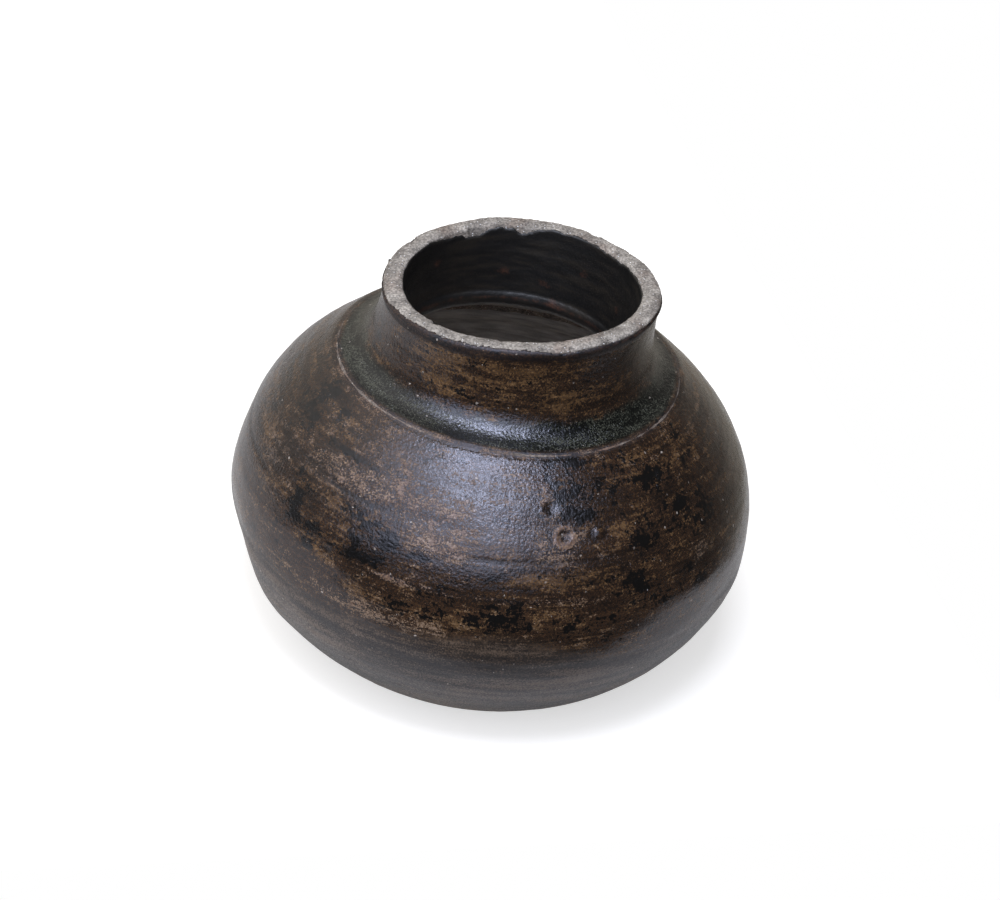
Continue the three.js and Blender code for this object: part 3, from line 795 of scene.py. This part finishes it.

# The same iron glaze poured thin: nearly black on the bore and rusty where it ran off the bead. Below the
# bore it is painted a pale grey-brown, palest on the lower wall and the floor: painted light, for the
# window's light that falls in through the mouth.
lining_skin, tree = fresh("poured_lining_glaze")
place = add(tree, "TexCoord")
mm = add(tree, "Mapping", {"Vector": place.outputs["Object"], "Scale": (MM, MM, MM)})
level = add(tree, "Mapping", {"Vector": place.outputs["Object"], "Scale": (120, 120, 700)})
streak = add(tree, "TexNoise", {"Vector": level, "Scale": 1.0, "Detail": 6.0})
speck = add(tree, "TexNoise", {"Vector": mm, "Scale": 1.8, "Detail": 3.0})
bore_black = add(
    tree, "ValToRGB", {"Fac": streak}, stops=[(0.38, "#121110"), (0.52, "#191715"), (0.66, "#231f1a")],
)
# Painted light: the pale grey-brown below the bore and the near white low down stand in for the window's
# light falling in through the mouth.
painted_lit_grey_brown = add(tree, "ValToRGB", {"Fac": streak}, stops=[(0.38, "#69625b"), (0.64, "#958d84")])
painted_light_below_bore = add(tree, "Attribute", attribute_name="painted_light_below_bore")
colour = add(
    tree, "Mix", {"Factor": painted_light_below_bore.outputs["Fac"], "A": bore_black, "B": painted_lit_grey_brown}, data_type="RGBA",
)
painted_light_pool = add(tree, "Attribute", attribute_name="painted_light_pool")
colour = add(
    tree, "Mix", {"Factor": painted_light_pool.outputs["Fac"], "A": colour, "B": linear("#cdc4b8")}, data_type="RGBA",
)
rusty = add(tree, "Attribute", attribute_name="rusty")
broken = add(tree, "Math", {0: speck, 1: rusty.outputs["Fac"]}, operation="MULTIPLY")
broken = add(tree, "MapRange", {"Value": broken, "From Min": 0.12, "From Max": 0.6, "To Max": 0.8})
colour = add(tree, "Mix", {"Factor": broken, "A": colour, "B": linear("#5a3a2b")}, data_type="RGBA")
bump = add(tree, "Bump", {"Height": speck, "Distance": 0.0001, "Strength": 0.8})
coat = add(tree, "BsdfPrincipled", {"Base Color": colour, "Roughness": 0.46, "IOR": 1.5, "Normal": bump})
add(tree, "OutputMaterial", {"Surface": coat})
finished(inner, "inner_glaze", lining_skin)


# The jar stands on a sheet of white paper in a dim room. One wide soft window lights it from high in
# front and a little to the left, with one brighter pane that makes the sheen sparkle. A pale wall
# behind and a pale ceiling on the left are all else that the glaze mirrors, so it stays dark in
# front and goes grey at its edges. To the camera the room is white.
WINDOW_AZIMUTH = -105
WINDOW_RISE = 48
WINDOW_AWAY = 1.0
WINDOW_WIDE = 1.1
WINDOW_TALL = 1.0
WINDOW_WATTS = 11
PANE_AZIMUTH = -95
PANE_RISE = 66
PANE_AWAY = 0.97
PANE_SIZE = 0.22
PANE_WATTS = 4.8
# Which way the pale wall and the pale part of the ceiling lie from the jar
WALL_WAY = (-0.3, 1.0, -0.55)
CEILING_WAY = (-0.62, 0.1, 0.78)
PAPER_WIDE = 0.46
PAPER_LONG = 0.54
PAPER_MIDDLE = (-0.155, 0.155)
PAPER_TURN = math.radians(15)
# What the paper adds to its own colour for the camera, near the jar and far from it, so that it
# shows as white and keeps the shadow, and what it adds for the glaze's reflections
PAPER_NEAR = 0.09
PAPER_FAR = 0.3
NEAR_LIFT = 0.58
FAR_LIFT = 1.0
GLAZE_LIFT = 0.05


def around(azimuth, rise, away):
    """A place at a distance from the jar, in metres."""
    a, e = math.radians(azimuth), math.radians(rise)
    return Vector((math.cos(a) * math.cos(e), math.sin(a) * math.cos(e), math.sin(e))) * away


window_place = around(WINDOW_AZIMUTH, WINDOW_RISE, WINDOW_AWAY)
pane_place = around(PANE_AZIMUTH, PANE_RISE, PANE_AWAY)
for name, place, wide, tall, watts in (
    ("soft_window", window_place, WINDOW_WIDE, WINDOW_TALL, WINDOW_WATTS),
    ("bright_pane", pane_place, PANE_SIZE, PANE_SIZE, PANE_WATTS),
):
    bpy.ops.object.light_add(type="AREA", location=place)
    pane = bpy.context.object
    pane.name = name
    pane.data.shape = "RECTANGLE"
    pane.data.size = wide
    pane.data.size_y = tall
    pane.data.energy = watts
    pane.data.color = linear("#e4ebff")[:3]
    pane.rotation_euler = place.to_track_quat("Z", "Y").to_euler()

world = bpy.data.worlds.new("dim_room_with_a_pale_wall")
scene.world = world
world.use_nodes = True
tree = world.node_tree
tree.nodes.clear()
way = add(tree, "TexCoord")
behind = add(
    tree, "VectorMath", {0: way.outputs["Generated"], 1: WALL_WAY}, operation="DOT_PRODUCT",
)
wall_light = add(tree, "ValToRGB", {"Fac": behind}, stops=[(0.3, "#464340"), (0.95, "#c4bdb1")])
over = add(
    tree, "VectorMath", {0: way.outputs["Generated"], 1: CEILING_WAY}, operation="DOT_PRODUCT",
)
ceiling_light = add(
    tree, "ValToRGB", {"Fac": over}, stops=[(0.6, "#000000"), (0.8, "#8f8d88"), (0.98, "#fff9ee")],
)
room = add(
    tree, "Mix", {"Factor": 1.0, "A": wall_light, "B": ceiling_light}, data_type="RGBA",
    blend_type="ADD",
)
seen = add(tree, "LightPath")
white = add(
    tree, "Mix", {"Factor": seen.outputs["Is Camera Ray"], "A": room, "B": linear("#ffffff")},
    data_type="RGBA",
)
sky = add(tree, "Background", {"Color": white})
add(tree, "OutputWorld", {"Surface": sky})

bpy.ops.mesh.primitive_plane_add(size=1, location=(*PAPER_MIDDLE, 0))
floor = bpy.context.object
floor.scale = (PAPER_WIDE, PAPER_LONG, 1)
floor.rotation_euler = (0, 0, PAPER_TURN)
bpy.ops.object.transform_apply(location=True, rotation=True, scale=True)
floor.name = "white_paper"
paper, tree = fresh("white_paper")
seen = add(tree, "LightPath")
place = add(tree, "TexCoord")
away = add(tree, "VectorMath", {0: place.outputs["Object"]}, operation="LENGTH")
matt = add(tree, "BsdfDiffuse", {"Color": linear("#d0ccc3")})
far_lift = add(
    tree, "MapRange",
    {
        "Value": away.outputs["Value"], "From Min": PAPER_NEAR, "From Max": PAPER_FAR,
        "To Min": NEAR_LIFT, "To Max": FAR_LIFT,
    },
)
lift = add(tree, "Math", {0: seen.outputs["Is Camera Ray"], 1: far_lift}, operation="MULTIPLY")
lift = add(
    tree, "Math", {0: seen.outputs["Is Glossy Ray"], 1: GLAZE_LIFT, 2: lift}, operation="MULTIPLY_ADD",
)
glow = add(tree, "Emission", {"Color": (1, 1, 1, 1), "Strength": lift})
both = add(tree, "AddShader", {0: matt, 1: glow})
add(tree, "OutputMaterial", {"Surface": both})
floor.data.materials.append(paper)


# The camera is held by hand half a metre away. It looks down on the jar and is a little off level.
CAMERA_AWAY = 0.5
CAMERA_RISE = 33.41
CAMERA_ROLL = 7.92
CAMERA_AIM = Vector((0, 0, 0.045))
PICTURE_WIDTH = 1000
FOCAL_PIXELS = 2173
AIM_LEFT = 4.5
AIM_BELOW = 5.3
camera_place = CAMERA_AIM + around(-90, CAMERA_RISE, CAMERA_AWAY)
bpy.ops.object.camera_add(location=camera_place)
camera = bpy.context.object
scene.camera = camera
camera.data.sensor_width = 36
camera.data.lens = camera.data.sensor_width * FOCAL_PIXELS / PICTURE_WIDTH
camera.data.shift_x = AIM_LEFT / PICTURE_WIDTH
camera.data.shift_y = AIM_BELOW / PICTURE_WIDTH
level = (CAMERA_AIM - camera_place).to_track_quat("-Z", "Y")
camera.rotation_euler = (level @ Quaternion((0, 0, 1), math.radians(CAMERA_ROLL))).to_euler()
